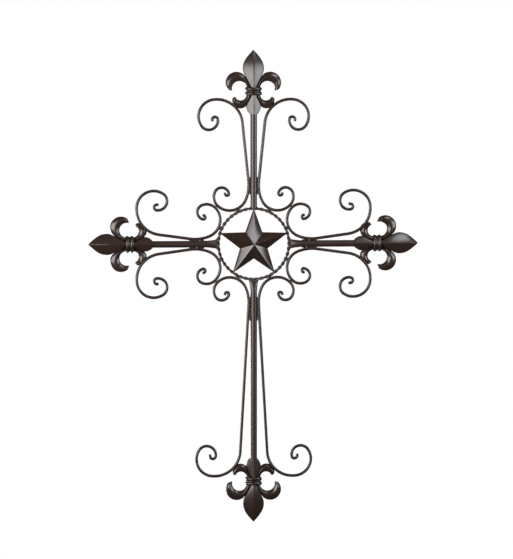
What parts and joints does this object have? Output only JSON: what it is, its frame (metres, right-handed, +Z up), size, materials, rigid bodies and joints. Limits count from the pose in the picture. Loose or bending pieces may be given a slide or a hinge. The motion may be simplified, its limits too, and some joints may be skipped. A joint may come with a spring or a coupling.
{
  "type": "wall cross",
  "caption": "Tall wall cross of bent scroll wires and round bars, with cast fleur-de-lis ends and a raised star in a twisted wire ring.",
  "frame": {"origin": "on the flat back of the top casting, level with the middle of its collar, where the cross meets the wall", "axes": "+Z up along the long bars, +X to the viewer's right, +Y into the wall; the cross faces -Y"},
  "size_m": [0.58, 0.0259, 0.8309],
  "materials": {
    "castings": "dark bronze paint, semi-gloss, on cast metal",
    "star_sheet": "dark bronze paint, semi-gloss, on pressed sheet",
    "bar_tube": "dark bronze paint, semi-gloss, on round tube",
    "scroll_wire": "dark bronze paint, semi-gloss, on round wire",
    "ring_wire": "dark bronze paint, semi-gloss, on twisted wire"
  },
  "bodies": {
    "root": {"star": "star_sheet", "ring": "ring_wire", "bar_top": "bar_tube", "bar_bottom": "bar_tube", "bar_left": "bar_tube", "bar_right": "bar_tube", "scroll_top_left": "scroll_wire", "scroll_top_right": "scroll_wire", "scroll_bottom_left": "scroll_wire", "scroll_bottom_right": "scroll_wire", "scroll_left_upper": "scroll_wire", "scroll_left_lower": "scroll_wire", "scroll_right_upper": "scroll_wire", "scroll_right_lower": "scroll_wire", "finial_top": "castings", "finial_bottom": "castings", "finial_left": "castings", "finial_right": "castings"}
  },
  "joints": []
}
